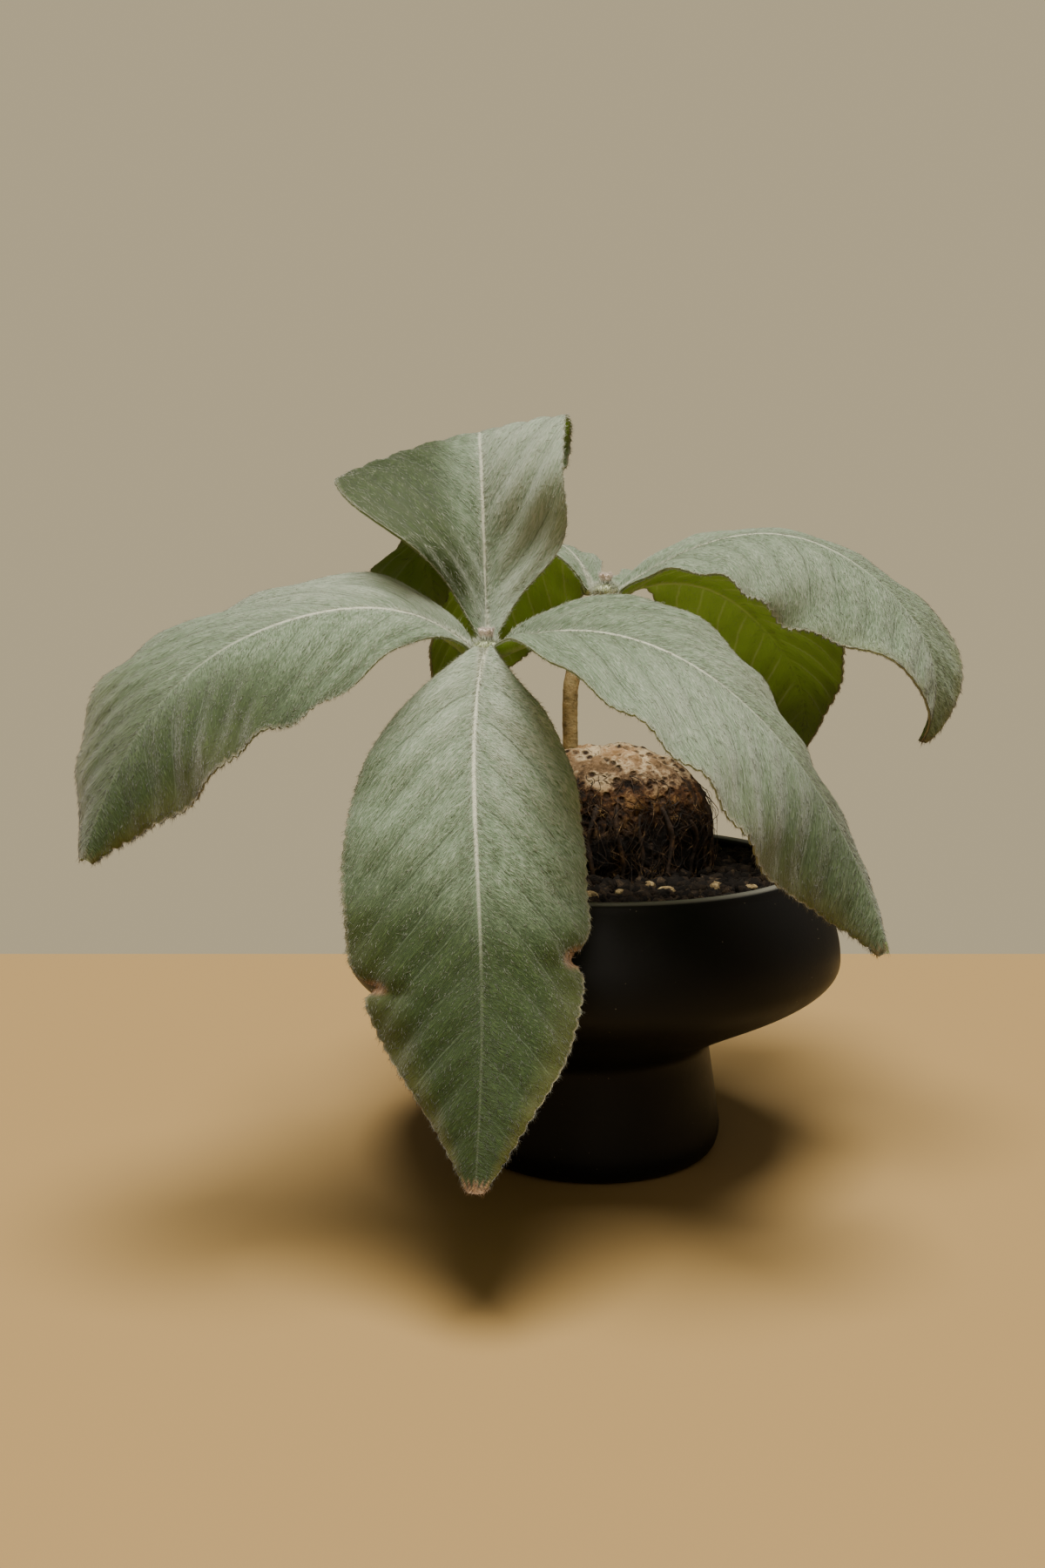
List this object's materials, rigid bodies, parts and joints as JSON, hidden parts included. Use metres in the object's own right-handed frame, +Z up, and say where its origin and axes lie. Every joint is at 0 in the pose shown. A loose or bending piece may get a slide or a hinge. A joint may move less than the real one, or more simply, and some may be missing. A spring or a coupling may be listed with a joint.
{
  "type": "potted brazilian edelweiss",
  "caption": "Woolly silver-leaved tuberous plant standing in a low round pedestal bowl of satin black ceramic, its bare corky caudex half out of dark grit.",
  "frame": {"origin": "centre of the pot's flat base", "axes": "+Z up through the pot, -Y towards the front that the picture shows, +X to the right"},
  "size_m": [0.2456, 0.2407, 0.2219],
  "materials": {
    "ceramic": "satin",
    "grit": "matte",
    "cork": "matte",
    "bark": "matte",
    "wool": "matte",
    "leaf": "matte"
  },
  "bodies": {
    "root": {"pot": "ceramic", "soil": "grit", "caudex": "cork", "stem_front": "bark", "stem_rear": "bark", "bud_front": "wool", "bud_rear": "wool", "leaf_front_left": "leaf", "leaf_front_near": "leaf", "leaf_front_right": "leaf", "leaf_front_back": "leaf", "leaf_rear_right": "leaf", "leaf_rear_back": "leaf", "leaf_rear_left": "leaf"}
  },
  "joints": []
}
